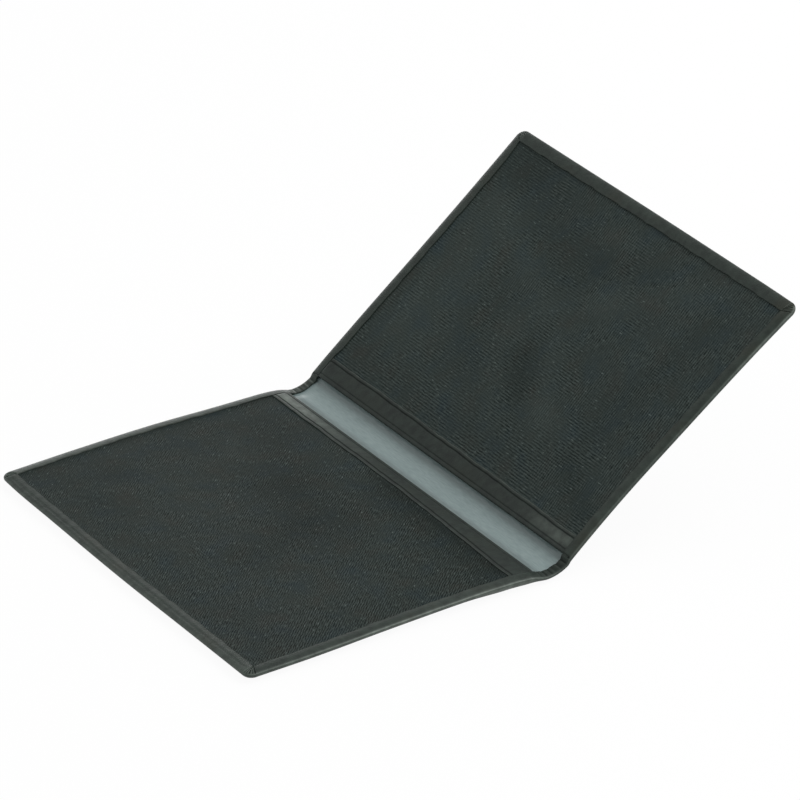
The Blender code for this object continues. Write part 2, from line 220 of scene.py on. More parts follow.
# Distances from start to end with steps of about coarse, and about fine inside the gutter.
def stepsAcross(start, end, coarse, fine):
    low = leftMouth - meshing["fineMargin"]
    high = rightMouth + meshing["fineMargin"]
    cuts = sorted({start, end} | {cut for cut in (low, high) if start < cut < end})
    parts = []
    for first, last in zip(cuts[:-1], cuts[1:]):
        step = fine if low <= (first + last) / 2 <= high else coarse
        parts.append(np.linspace(first, last, max(2, int(round((last - first) / step)) + 1))[:-1])
    return np.concatenate(parts + [np.array([end])])


# Mesh object from places, faces and flat coordinates, welded, closed and facing outwards. Its tones,
# which the materials read, are above 0 where it is paler than the rest and below 0 where it is darker.
def makePiece(name, points, faces, flat, tones=None):
    mesh = bpy.data.meshes.new(name)
    mesh.from_pydata(points.reshape(-1, 3), [], faces)
    if tones is not None:
        toneLayer = mesh.attributes.new("tone", "FLOAT", "POINT")
        toneLayer.data.foreach_set("value", tones.astype(np.float32).ravel())
    flatLayer = mesh.uv_layers.new(name="flat")
    corners = np.zeros(len(mesh.loops), np.int32)
    mesh.loops.foreach_get("vertex_index", corners)
    flatLayer.data.foreach_set("uv", (flat.reshape(-1, 2)[corners] * mm).astype(np.float32).ravel())
    shape = bmesh.new()
    shape.from_mesh(mesh)
    bmesh.ops.remove_doubles(shape, verts=shape.verts, dist=meshing["weld"] * mm)
    bmesh.ops.dissolve_degenerate(shape, edges=shape.edges, dist=meshing["speck"] * mm)
    openEdges = [edge for edge in shape.edges if edge.is_boundary]
    if openEdges:
        ends = bmesh.ops.holes_fill(shape, edges=openEdges, sides=0)["faces"]
        bmesh.ops.triangulate(shape, faces=ends)
    # In a hem's inner corner the points of many rows stand on one short upright line
    knots = [vert for vert in shape.verts if not all(edge.is_manifold for edge in vert.link_edges)]
    if knots:
        bmesh.ops.remove_doubles(shape, verts=knots, dist=meshing["knotWeld"] * mm)
        bmesh.ops.dissolve_degenerate(shape, edges=shape.edges, dist=meshing["speck"] * mm)
    bmesh.ops.recalc_face_normals(shape, faces=shape.faces)
    stillOpen = sum(not edge.is_manifold for edge in shape.edges)
    shape.to_mesh(mesh)
    shape.free()
    mesh.shade_smooth()
    mesh.set_sharp_from_angle(angle=math.radians(meshing["sharpAngle"]))
    piece = bpy.data.objects.new(name, mesh)
    scene.collection.objects.link(piece)
    print(name, len(mesh.polygons), "faces, edges left open:", stillOpen)
    return piece


# Faces of a grid of rows by columns whose first vertex has the given number.
def gridFaces(rows, columns, first=0):
    index = first + np.arange(rows * columns).reshape(rows, columns)
    quads = np.stack([index[:-1, :-1], index[1:, :-1], index[1:, 1:], index[:-1, 1:]], axis=-1)
    return quads.reshape(-1, 4).tolist()


# Thin sheet between two heights on a grid of places, with its four side walls.
def makeSheet(name, across, along, low, high, tones=None):
    top = placed(across, along, high)
    bottom = placed(across, along, low)
    rows, columns = across.shape
    count = rows * columns
    faces = gridFaces(rows, columns) + gridFaces(rows, columns, count)
    grid = np.arange(count).reshape(rows, columns)
    rim = np.concatenate([grid[0], grid[1:, -1], grid[-1, -2::-1], grid[-2:0:-1, 0]])
    after = np.roll(rim, -1)
    faces += np.stack([rim, after, after + count, rim + count], axis=-1).tolist()
    flat = paired(across, along)
    bothSides = None if tones is None else np.concatenate([tones, tones])
    return makePiece(name, np.concatenate([top, bottom]), faces, np.concatenate([flat, flat]), bothSides)


# Grid of places of an inner layer: columns run across, rows run along, and the two outer corners are
# round, since each column is as long as the round corner leaves it.
def layerGrid(start, end, step):
    radius = caseSizes["cornerRadius"] - tuck
    acrossLine = stepsAcross(start, end, step, step / 2)
    fromOuter = np.minimum(acrossLine - tuck, coverWidth - tuck - acrossLine)
    nearEdge = np.clip(radius - fromOuter, 0.0, radius)
    lost = radius - np.sqrt(radius**2 - nearEdge**2)
    share = np.linspace(-1.0, 1.0, int(2 * halfLength / step))
    along = (halfLength - tuck - lost)[:, None] * share[None, :]
    return np.broadcast_to(acrossLine[:, None], along.shape).copy(), along


# Leather cover. Where two values belong together, they are the places between which something grows,
# or the height and the length of a wave, unless a note says otherwise.

leatherCover = {
    "sideHem": 2.8,     # leather turned in along the two ends
    "outerHem": 3.3,    # and along the outer edges
    "windowEase": 6.0,  # near a corner the places on an end hem's cut edge shift inwards
    "leafEdge": (1.07, 2.3, 1.6),  # rim height, then how far the top and the underside curve in
    "gutterEdge": (0.60, 1.2, 0.8),
    "endEase": 2.0,     # what belongs to an end fades over that
    "pared": 0.12,      # the turned-in leather is pared
    "hemSlope": 0.02,   # and the hem falls a little towards its cut edge
    "farLeft": (62.0, 76.0),      # the far hem of the left leaf ends between these
    "wideHem": 0.65,    # the far hem of the right leaf is that much wider
    "wideHemAt": ((91, 100), (158, 164)),
    "grooveAt": 1.38,   # pressed line along the outer hem, from the edge
    "grooveDepth": 0.08,
    "grooveWidth": 0.30,
    "grooveShare": (1.0, 0.35),   # left and right
    "grooveFrom": (1.0, 6.0),     # from the ends of the case
    "grooveTone": (0.07, 0.2),    # left and right: darker from there to the hem's cut edge
    "grooveToneFrom": (0.9, 1.7),
    "cutEdgeRound": (0.09, 0.24),  # elsewhere, and on the far hem of the left leaf and the gutter
    "cutLeast": 0.03,   # the cut edge keeps at least that height
    "foldWall": 0.15,   # and the leather over the inside of the fold that thickness
    "edgeWave": (0.12, 9.0),      # unevenness of the hem's cut edge
    "swell": (0.03, 14.0),        # and of its top
    "fineSwell": (0.012, 3.1),
    "crimp": (0.06, 1.6),         # small cross folds of the hem inside the gutter
    # the crimps' tops are painted pale and their hollows dark, as their light and shade
    "crimpTone": 0.3,
    "unevenFrom": (0.05, 0.9),    # swell and crimp begin there, from the edge
    "pleats": (0.12, 0.30, 0.50, 0.69, 0.88),  # share of the corner's turn
    "pleatStrays": ((0.35, 2.7), (0.02, 5.1)),  # what varies their depth and place: size, step
    "pleatDepth": 0.20,
    "pleatWidth": 0.05,
    "pleatFrom": (0.0, 1.2),
    "mouthNotch": (0.42, 0.25),   # depth and width of the hem's crease at the right mouth
    # the crease is painted dark with its shade
    "notchShade": 0.6,
    "sag": 0.55,        # the leather hangs loose under the rim beside the spine, at the near end
    "sagAt": ((58, 70), (75, 80.5)),
    "sagFull": 0.8,     # it hangs fully up to there, from the edge
    "toneFrom": (0.1, 0.7),       # the hem's tones begin there
    "rimSheenAt": (20.0, 15.0),        # degrees up the round edge where a pale line is painted, its highlight with some rubbed wear: near end, other edges
    "rimSheenSpread": (11.0, 22.0),
    # strength of that painted highlight along the near end
    "nearRimSheen": [(0, 0.5), (20, 0.6), (75, 0.6), (81, 0.4), (100, 0.35), (140, 0.4), (158, 0.7),
                (167.5, 0.75)],
    "underReflection": 0.55,   # share of it painted just under the edge, as a reflection of the white floor
    "underSpread": 22.0,
    "outerRimSheen": (0.28, 0.0),       # left and right outer edges, where the pale line is a painted highlight
    # How much paler or darker the outer hems are, along the left and along the right leaf
    "outerTone": ([(-55, 0.09), (0, 0.02), (55, -0.05)], [(-55, 0.0), (20, 0.0), (55, 0.015)]),
    # the hanging band under the rim is paler
    "sagPaleness": 0.65,
    "ridgeSheenAndRub": 0.4,    # the ridges between the pleats are painted paler too, their highlight with some rubbed wear; the pleats are painted dark with their shade
    "gutterShade": 0.30,          # the near hem is darker where it crosses the gutter
    "farSheenAndWear": 0.09,    # the far hem of the left leaf is paler all over: a painted sheen of the light behind it, with some wear
    # how much paler or darker the near hem is, along it
    "nearTone": [(0, -0.05), (40, 0.0), (60, 0.03), (72, 0.02), (80, 0.0), (90, 0.0), (100, 0.045),
                 (125, 0.03), (150, 0.01), (167.5, 0.01)],
    "cutTone": -0.3,    # the sharp cut edge is dark
    "step": 0.6,
    "fineStep": 0.22,
    "cornerSteps": 90,
    "edgeSteps": 13,
    "hemSteps": 9,
    "cutSteps": 4,
}
# The cut edges of the two end hems lie that far from the middle of the case
hemLine = halfLength - leatherCover["sideHem"]


# Path of the hem round one half of the case, from the middle of the gutter along the near end, up the
# outer edge and back along the far end. It gives places on the outer edge and on the hem's cut edge,
# and the share of the corner's turn, or -1 away from the corners.
def hemPath():
    own = leatherCover
    radius = caseSizes["cornerRadius"]
    outerHem = own["outerHem"]
    endAcross = stepsAcross(radius, gutterMiddle, own["step"], own["fineStep"])
    shift = 1 - ease(endAcross, radius, radius + own["windowEase"])
    endWindow = endAcross + (outerHem - radius) * shift
    straight = halfLength - radius
    edgeAlong = np.linspace(-straight, straight, int(2 * straight / own["step"]))
    edgeWindow = edgeAlong.copy()
    edgeWindow[[0, -1]] = (-hemLine, hemLine)
    turn = np.linspace(0.0, 1.0, own["cornerSteps"])[1:-1]
    angle = turn * np.pi / 2
    # Near end and near corner, from the gutter round to the outer edge. The far ones mirror them.
    outer = np.concatenate([paired(endAcross[::-1], -halfLength),
                            paired(radius * (1 - np.sin(angle)), -straight - radius * np.cos(angle))])
    inner = paired(np.concatenate([endWindow[::-1], np.full(len(turn), outerHem)]), -hemLine)
    mirror = np.array([1, -1])
    outer = np.concatenate([outer, paired(0.0, edgeAlong), outer[::-1] * mirror])
    inner = np.concatenate([inner, paired(outerHem, edgeWindow), inner[::-1] * mirror])
    onEnd = -np.ones(len(endAcross))
    corner = np.concatenate([onEnd, turn, -np.ones(len(edgeAlong)), turn, onEnd])
    return outer, inner, corner, endWindow, edgeWindow


# Distances, heights and tones of a section's columns, as grids with a row for each place on its path.
def columnGrids(columns, count):
    return [np.stack([np.broadcast_to(column[part], count) for column in columns], axis=1)
            for part in range(3)]


# One half of the cover, as a closed skin. The hem is a section carried along the hem path: the outer
# face, a half lens-shaped edge made of two quarter ellipses, the top of the hem with its pressed line
# and pleats, its cut edge, and back underneath. The two sheets inside that ring, the outer face and
# the inner one, are plain grids.
def makeCoverHalf(name, mirrored, seed):
    own = leatherCover
    leaf = 1 if mirrored else 0
    outer, inner, corner, endWindow, edgeWindow = hemPath()
    if mirrored:
        outer[:, 0] = coverWidth - outer[:, 0]
        inner[:, 0] = coverWidth - inner[:, 0]
        endWindow = coverWidth - endWindow
    across, along = outer.T
    innerAcross = inner[:, 0]
    length = np.concatenate([[0.0], np.cumsum(np.linalg.norm(np.diff(inner, axis=0), axis=1))])
    away = np.linalg.norm(inner - outer, axis=1)
    inCorner = np.where(corner >= 0, 1.0, 0.0)
    fall = [leftMouth + place for place in layerHeights["topFall"]]
    rise = [rightMouth + place for place in layerHeights["topRise"]]
    topShare = between(innerAcross, fall, rise)
    inGutter = gutterShare(innerAcross, layerHeights["baseRamp"])
    notchDepth, notchWidth = own["mouthNotch"]
    notchShare = bell(innerAcross - rise[1], notchWidth)
    nearEnd, farEnd = [ease(side * along, halfLength - own["endEase"], halfLength) for side in (-1, 1)]
    farLeft = farEnd * (1 - ease(across, *own["farLeft"]))
    sag = nearEnd * own["sag"] * between(across, *own["sagAt"])
    onNear = nearEnd > 0.5
    # Strength and place of the pale line painted along the round edge: its highlight, with some rubbed wear
    outerRimSheen = own["outerRimSheen"][leaf] * (1 - farEnd)
    rimSheenLevel = np.where(onNear, softLine(across, own["nearRimSheen"]), outerRimSheen)
    rimSheenAt = np.where(onNear, *own["rimSheenAt"])
    rimSheenSpread = np.where(onNear, *own["rimSheenSpread"])
    # Paleness of the hems: a painted sheen with some wear on the far hem of the left leaf, and stretches
    # paler or darker along the near end and the outer edges
    sheenAndWear = (own["farSheenAndWear"] * farLeft + nearEnd * softLine(across, own["nearTone"])
            + (1 - nearEnd) * (1 - farEnd) * softLine(along, own["outerTone"][leaf]))
    top = partWay(layerHeights["leafTop"] - own["pared"], layerHeights["gutterTop"], topShare)
    base = partWay(layerHeights["leafHemBase"], layerHeights["gutterHemBase"], inGutter)
    rim, topCurve, underCurve = [partWay(onLeaf, inMiddle, topShare)
                                 for onLeaf, inMiddle in zip(own["leafEdge"], own["gutterEdge"])]
    worn = np.maximum(farLeft, farEnd * inGutter)
    cutRound = partWay(*own["cutEdgeRound"], worn)
    pressed = own["grooveShare"][leaf] * ease(halfLength - np.abs(along), *own["grooveFrom"])
    groove = pressed * own["grooveDepth"]
    crimp = unevenness(length, *own["crimp"], seed + 1) * inGutter
    swell = (unevenness(length, *own["swell"], seed + 2)
             + unevenness(length, *own["fineSwell"], seed + 4))
    edgeWave = (1 - inCorner) * unevenness(length, *own["edgeWave"], seed + 3)
    pleat = np.zeros(len(corner))
    for number, share in enumerate(own["pleats"]):
        shallower, aside = [size * math.sin(step * number + seed) for size, step in own["pleatStrays"]]
        pleat = pleat + inCorner * (1 - shallower) * bell(corner - share - aside, own["pleatWidth"])

    # Height of the hem's top at a distance from the outer edge
    def hemTop(distance):
        inward = np.clip(1 - distance / topCurve, 0.0, 1.0)
        slope = own["hemSlope"] * ease(distance, 0.5 * topCurve, away)
        line = groove * bell(distance - own["grooveAt"], own["grooveWidth"])
        creases = own["pleatDepth"] * pleat + notchDepth * notchShare
        return (partWay(rim, top, np.sqrt(1 - inward**2)) - slope - line
                + ease(distance, *own["unevenFrom"]) * (swell + crimp)
                - ease(distance, *own["pleatFrom"]) * creases)

    # Tone of the hem's top, above 0 paler and below 0 darker: painted highlight on the pleats' ridges and the
    # crimps' tops, painted shade in the pleats, the notch and the crimps' hollows, the paleness along the
    # hems, a darker strip inside the pressed line and a darker hem across the gutter at the near end
    def hemTone(distance):
        tone = inCorner * (own["ridgeSheenAndRub"] - pleat) - own["notchShade"] * notchShare
        tone = tone + inGutter * crimp / own["crimp"][0] * own["crimpTone"] + sheenAndWear
        tone = tone - own["grooveTone"][leaf] * pressed * ease(distance, *own["grooveToneFrom"])
        return ease(distance, *own["toneFrom"]) * (tone - own["gutterShade"] * topShare * nearEnd)

    # How far the outer face hangs at a distance from the outer edge
    def hang(distance):
        return sag * ease(away - distance, 0, away - own["sagFull"])

    columns = [(away, 0.0, 0.0)]
    for share in (0.75, 0.5, 0.25):
        distance = partWay(underCurve, away, share)
        columns.append((distance, -hang(distance), 0.0))
    angles = np.linspace(0.0, np.pi / 2, own["edgeSteps"])
    for angle in angles[::-1]:
        distance = underCurve * (1 - np.cos(angle))
        # Under the round edge the hanging band is paler, and just under the edge a reflection of the white
        # floor is painted
        tone = (own["sagPaleness"] * sag / own["sag"] * np.sin(angle)
                + own["underReflection"] * rimSheenLevel * bell(math.degrees(angle), own["underSpread"]))
        columns.append((distance, rim * (1 - np.sin(angle)) - hang(distance) * np.sin(angle), tone))
    for angle in angles[1:]:
        distance = topCurve * (1 - np.cos(angle))
        # Up the round edge a pale line is painted where the highlight falls, with some rubbed wear
        rubbedAndSheen = rimSheenLevel * bell(math.degrees(angle) - rimSheenAt, rimSheenSpread)
        columns.append((distance, hemTop(distance), rubbedAndSheen + hemTone(distance)))
    cut = away + edgeWave + own["wideHem"] * farEnd * between(across, *own["wideHemAt"])
    for share in np.linspace(0.0, 1.0, own["hemSteps"])[1:-1]:
        distance = partWay(topCurve, cut - cutRound, share)
        columns.append((distance, hemTop(distance), hemTone(distance)))
    for angle in np.linspace(0.0, np.pi / 2, own["cutSteps"]):
        distance = cut - cutRound * (1 - np.sin(angle))
        full = hemTop(distance)
        fallen = np.minimum(cutRound, full - base - own["cutLeast"]) * (1 - np.cos(angle))
        columns.append((distance, full - fallen, hemTone(distance) + own["cutTone"] * (1 - worn)))
    # Inside the fold the leather leaves a wall of its own thickness
    leather = layerHeights["leather"]
    foldTop = np.minimum(base, hemTop(leather) - own["foldWall"])
    columns += [(cut, base, 0.0), ((cut + leather) / 2, base, 0.0), (leather, foldTop, 0.0),
                (leather, leather, 0.0), (away, leather, 0.0)]

    direction = (inner - outer) / away[:, None]
    distance, height, tones = columnGrids(columns, len(away))
    places = outer[:, None, :] + direction[:, None, :] * distance[:, :, None]
    points = [placed(places[..., 0], places[..., 1], height).reshape(-1, 3)]
    flat = [places.reshape(-1, 2)]
    faces = gridFaces(*distance.shape)
    gridAcross, gridAlong = np.meshgrid(endWindow, edgeWindow, indexing="ij")
    for sheetHeight in (0.0, leather):
        faces += gridFaces(*gridAcross.shape, first=sum(len(part) for part in points))
        points.append(placed(gridAcross, gridAlong, sheetHeight).reshape(-1, 3))
        flat.append(paired(gridAcross, gridAlong).reshape(-1, 2))
    tones = np.concatenate([tones.ravel(), np.zeros(2 * gridAcross.size)])
    return makePiece(name, np.concatenate(points), faces, np.concatenate(flat), tones)


coverLeft = makeCoverHalf("leather_cover_left", False, 11)
coverRight = makeCoverHalf("leather_cover_right", True, 23)

# Satin lining

satinLining = {
    "step": 0.7,
    "ripple": (0.055, 21.0),      # height and length of its low waves
    "rippleLean": 0.6,
    "seed": 5,          # the two halves share it, so their waves meet
    "clear": 0.02,      # it lies that much higher in the gutter
    "lift": 0.40,       # it dives under the left trim, sags a little and runs up to the right one
    "liftRise": (0.7, 2.9),       # from the left mouth
    "sagEnds": 3.0,     # it sags from that far past the left mouth to that far before the right one
    "rightLift": 0.5,   # share of the lift at the right mouth
    "liftFrom": (0.2, 3.5),       # from the end hems
    "shaded": ((1.7, 0.8, -0.32), (9.4, 0.9, -0.42)),  # from the left mouth, half width, tone
}


# One half of the lining: it lies on the board, drops off its edge and crosses the gutter.
def makeLiningHalf(name, start, end):
    own = satinLining
    across, along = layerGrid(start, end, own["step"])
    ramp = layerHeights["liningRamp"]
    boardEnd, boardStart = leftMouth - setback, rightMouth + setback
    low = between(across, (boardEnd, boardEnd + ramp), (boardStart - ramp, boardStart))
    ripple = unevenness(along + own["rippleLean"] * across, *own["ripple"], own["seed"])
    sagStart, sagEnd = leftMouth + own["sagEnds"], rightMouth - own["sagEnds"]
    lifted = between(across, [leftMouth + place for place in own["liftRise"]], (sagStart, sagEnd))
    lifted = lifted + own["rightLift"] * ease(across, sagEnd, rightMouth)
    lift = own["lift"] * lifted * ease(hemLine - np.abs(along), *own["liftFrom"])
    rise = gutterShare(across) * (ripple + lift + own["clear"])
    heights = [partWay(onBoard, inGutter, low) + rise
               for onBoard, inGutter in zip(layerHeights["liningOnBoard"], layerHeights["liningInGutter"])]
    tones = sum(depth * bell(across - leftMouth - at, width) for at, width, depth in own["shaded"])
    return makeSheet(name, across, along, *heights, tones)


liningLeft = makeLiningHalf("satin_lining_left", tuck, gutterMiddle)
liningRight = makeLiningHalf("satin_lining_right", gutterMiddle, coverWidth - tuck)

# Boards

boardLayout = {"step": 2.0}


# Stiffener board: flat, and short of the mouth line, so that the leather bends freely there.
def makeBoard(name, start, end):
    return makeSheet(name, *layerGrid(start, end, boardLayout["step"]), *layerHeights["board"])


boardLeft = makeBoard("stiffener_board_left", tuck, leftMouth - setback)
boardRight = makeBoard("stiffener_board_right", rightMouth + setback, coverWidth - tuck)

# Pocket faces

pocketFace = {
    "step": 0.7,
    "mouthInset": 0.49,           # from the mouth line to the cloth's edge inside the trim
    "puff": 0.16,       # the empty cloth stands a little proud in the middle
    "puffMargin": 9.0,
    "held": 5.8,        # held flat by the trim and by the outer hem this far in
    "waves": ((0.45, 0.035, 37.0), (-0.8, 0.021, 22.2)),  # lean, height and length
    "foldRise": 0.5,    # millimetres of rise for a fold of tone 1
}

# Soft folds and hollows of the slack cloth: from and to (across, along), half width, and tone, which is
# above 0 for a ridge painted pale with its light and below 0 for a hollow painted dark with its shade.
# The real ones are too low to show in a light this soft, so their light and shade are painted as well
# as their height given.
faceFolds = {
    "left": [((73.1, 8), (71.9, -50), 0.9, -0.32), ((71.5, -2), (70, -50), 4.5, -0.28),
             ((50, 10), (54, -10), 10, -0.20), ((45, 46), (66, 40), 13, -0.12),
             ((20, 46), (8, 47), 8, -0.12), ((44, -38), (22, -34), 7, 0.06),
             ((64, 34), (56, 16), 9, -0.16), ((54, 8), (44, -8), 6.5, -0.10),
             ((44, -8), (28, -12), 6, -0.18), ((11, 30), (13, 22), 5.5, -0.14),
             ((21, 39), (24, 37), 4, -0.16), ((54, 37), (50, 31), 2.4, 0.16),
             ((30, 26), (33, 14), 6, 0.05), ((62, -16), (56, -26), 3.5, 0.12)],
    "right": [((150, 46), (139, 20), 3.2, 0.12), ((139, 20), (133.5, 6.5), 4, 0.10),
              ((133.5, 6.5), (143, -8), 4.6, 0.14), ((143, -10), (160, -34), 4.2, 0.13),
              ((145, 42), (110, 34), 9, 0.18), ((109.6, 40.3), (126.1, 46.5), 2.4, 0.08),
              ((120.7, 13), (104.8, -4.5), 3.6, 0.12), ((128, -4), (109.2, -20), 3.6, 0.16),
              ((121.5, 1.5), (114, -5), 4.6, -0.30), ((152, -38), (116, -34), 7.5, -0.15),
              ((106, -34), (99, -50), 3.2, -0.24), ((163, 42), (146, 6), 8, -0.15),
              ((163, 50), (156, 46), 8, -0.18), ((128, 22), (116, 14), 5, -0.06),
              ((150, 2), (154, -14), 5, -0.13), ((126, 12), (124, 7), 3.6, 0.16),
              ((152, -33), (134, -29), 4, 0.12), ((117, 44), (108, 44), 3, 0.14),
              ((157, 6), (158, -2), 2.6, 0.14), ((103, 20), (103, 8), 4, 0.09),
              ((112, -28), (113, -12), 3, 0.13), ((161, 38), (158, 40), 4, -0.10)],
}


# Share of a fold at each place: a bell over the distance from the line that runs from start to end.
def foldShare(across, along, start, end, width):
    line = np.subtract(end, start)
    t = ((across - start[0]) * line[0] + (along - start[1]) * line[1]) / np.dot(line, line)
    t = np.clip(t, 0.0, 1.0)
    return bell(np.hypot(across - start[0] - t * line[0], along - start[1] - t * line[1]), width)


# Pocket face: flat where the hem and the trim hold it, and a shallow pillow with slack between.
def makePocketFace(name, start, end, folds, seed):
    own = pocketFace
    across, along = layerGrid(start, end, own["step"])
    fromSides = np.minimum(across - start, end - across)
    held, margin = own["held"], own["puffMargin"]
    free = ease(fromSides, held, held + margin) * ease(hemLine - np.abs(along), 0.0, margin)
    slack = sum(unevenness(along + lean * across, size, span, seed + number)
                for number, (lean, size, span) in enumerate(own["waves"]))
    tones = sum(depth * foldShare(across, along, first, last, width) for first, last, width, depth in folds)
    rise = free * (own["puff"] + slack + own["foldRise"] * tones)
    low, high = layerHeights["face"]
    return makeSheet(name, across, along, low + rise, high + rise, tones)


faceLeft = makePocketFace("pocket_face_cloth_left", tuck, leftMouth - pocketFace["mouthInset"],
                          faceFolds["left"], 31)
faceRight = makePocketFace("pocket_face_cloth_right", rightMouth + pocketFace["mouthInset"],
                           coverWidth - tuck, faceFolds["right"], 41)

# Mouth trims

mouthTrim = {
    "thickness": 0.28,
    "glue": 0.05,
    "returnWidth": 3.0,
    "noseInset": 0.10,  # the nose begins that far from the trim's mouth
    "leftReach": 0.38,  # the left trim's mouth lies that far past the mouth line
    "edgeCrease": 0.85,           # pressed line from the trim's edge on the cloth
    "noseCrease": 1.15,           # and from the mouth
    "creaseDepth": 0.12,
    "creaseWidth": 0.17,
    "creaseShade": -0.65,          # painted shade in the pressed lines; the cut edge is pale
    "noseShare": 0.4,   # the line along the nose has that share of the tone
    "edgeTone": 0.18,
    "edgeToneWidth": 0.2,
    "edgeFall": (0.10, 0.25),     # the front falls that much towards its edge, over that width
    "hump": 0.05,       # and is that much higher in the middle
    "flattened": 0.80,  # under the end hems the front is flatter by that share
    "flattenedFrom": (-0.5, 0.3),  # from the end hems' cut edges
    "swell": (0.03, 23.0),        # height and length of the unevenness of its front
    "edgeWave": (0.09, 17.0),     # and of its edge
    "step": 0.55,
    "noseSteps": 12,
    "frontSteps": 44,
}
# Width of each trim's front and how pale it is, at places along the mouth: the paleness towards the
# left trim's far end is a painted sheen
trimLooks = {
    "left": ([(-55, 6.5), (-45, 6.3), (-27, 5.55), (-5, 4.85), (28, 4.75), (55, 4.8)],
             [(-55, 0.0), (10, 0.0), (28, 0.18), (45, 0.52), (55, 0.52)]),
    "right": ([(-55, 5.1), (-45, 5.2), (-27, 5.4), (0, 5.6), (28, 5.85), (55, 5.7)],
              [(-55, 0.3), (-45, 0.25), (-32, 0.03), (-20, 0.0), (55, 0.0)]),
}


# Leather strip folded over the mouth edge of a pocket face: a section of a return leg, a half round
# nose, a front with two pressed lines and a cut edge, carried along the mouth and closed at its ends.
# Its width and how pale it is are soft lines through the points given for each trim; the paleness is a
# painted sheen towards the left trim's far end.
def makeMouthTrim(name, mouth, direction, widths, sheenAndWear, seed):
    own = mouthTrim
    low, high = layerHeights["face"]
    middle = (low + high) / 2
    innerRadius = (high - low) / 2 + own["glue"]
    outerRadius = innerRadius + own["thickness"]
    centre = outerRadius + own["noseInset"]
    along = np.linspace(-(halfLength - tuck), halfLength - tuck, int(2 * halfLength / own["step"]))
    press = 1 - own["flattened"] * ease(np.abs(along) - hemLine, *own["flattenedFrom"])
    frontWidth = softLine(along, widths) + unevenness(along, *own["edgeWave"], seed)
    swell = unevenness(along, *own["swell"], seed + 1)
    worn = softLine(along, sheenAndWear)
    fallDepth, fallWidth = own["edgeFall"]

    # Half round of the nose, whose upper half is flatter under the end hems
    def nose(radius, angles):
        return [(centre - radius * math.cos(angle),
                 middle + (press if angle > 0 else 1.0) * radius * math.sin(angle), 0.0) for angle in angles]

    angles = np.linspace(-np.pi / 2, np.pi / 2, own["noseSteps"])
    columns = [(own["returnWidth"], middle - outerRadius, 0.0)] + nose(outerRadius, angles)
    for share in np.linspace(0.0, 1.0, own["frontSteps"])[1:]:
        distance = partWay(centre, frontWidth, share)
        toEdge = frontWidth - distance
        atEdge = bell(toEdge - own["edgeCrease"], own["creaseWidth"])
        atNose = bell(distance - own["noseCrease"], own["creaseWidth"])
        pressed = own["creaseDepth"] * (atEdge + atNose)
        fall = fallDepth * (1 - ease(toEdge, 0.0, fallWidth))
        arch = np.sin(np.pi * share)
        rise = own["hump"] * arch + swell * share
        # Painted shade in the two pressed lines, a pale cut edge, and the paleness along the trim, which is a
        # painted sheen towards the left trim's far end
        tone = (own["creaseShade"] * (atEdge + own["noseShare"] * atNose)
                + own["edgeTone"] * bell(toEdge, own["edgeToneWidth"]) + worn * arch)
        columns.append((distance, middle + press * (outerRadius - pressed - fall + rise), tone))
    columns += [(frontWidth, middle + innerRadius * press, 0.0)] + nose(innerRadius, angles[::-1])
    columns += [(own["returnWidth"], middle - innerRadius, 0.0), columns[0]]

    distance, height, tones = columnGrids(columns, len(along))
    across = mouth + direction * distance
    along = along[:, None]
    return makePiece(name, placed(across, along, height), gridFaces(*across.shape),
                     paired(across, along), tones)


trimLeft = makeMouthTrim("mouth_trim_left", leftMouth + mouthTrim["leftReach"], -1, *trimLooks["left"], 51)
trimRight = makeMouthTrim("mouth_trim_right", rightMouth, 1, *trimLooks["right"], 61)
print("pieces made")

# Materials


# Linear colour of an sRGB hex value.
def hexColour(text):
    values = [int(text[i:i + 2], 16) / 255 for i in (1, 3, 5)]
    return [v / 12.92 if v <= 0.04045 else ((v + 0.055) / 1.055) ** 2.4 for v in values] + [1.0]


# Scale of a texture with features of that many millimetres.
def scaleFor(size):
    return 1 / (size * mm)


# Adds one node and gives one of its outputs: its settings are plain attributes, and its inputs are
# values or sockets to link.
def addNode(tree, kind, inputs=None, output=0, **settings):
    node = tree.nodes.new("ShaderNode" + kind)
    for name, value in settings.items():
        setattr(node, name, value)
    for name, value in (inputs or {}).items():
        if isinstance(value, bpy.types.NodeSocket):
            tree.links.new(value, node.inputs[name])
        else:
            node.inputs[name].default_value = value
    return node.outputs[output]


# New material with its tree and its shader, whose plain values are set.
def startMaterial(name, own):
    material = bpy.data.materials.new(name)
    material.use_nodes = True
    tree = material.node_tree
    shader = tree.nodes["Principled BSDF"]
    for name, key in (("Roughness", "roughness"), ("IOR", "ior"), ("Specular IOR Level", "specular")):
        shader.inputs[name].default_value = own[key]
    return material, tree, shader


# Lays colours over the first one and adds the bump of a height. Each colour grows from nothing to its
# share as a value goes from start to end.
def finishMaterial(tree, shader, own, first, layers, height, depth):
    colour = hexColour(own[first])
    for name, value, (start, end), share in layers:
        laid = addNode(tree, "MapRange", {"Value": value, "From Min": start, "From Max": end,
                                          "To Max": share})
        colour = addNode(tree, "Mix", {"Factor": laid, "A": colour, "B": hexColour(own[name])},
                         "Result", data_type="RGBA")
    bump = addNode(tree, "Bump", {"Height": height, "Distance": depth * mm})
    tree.links.new(colour, shader.inputs["Base Color"])
    tree.links.new(bump, shader.inputs["Normal"])


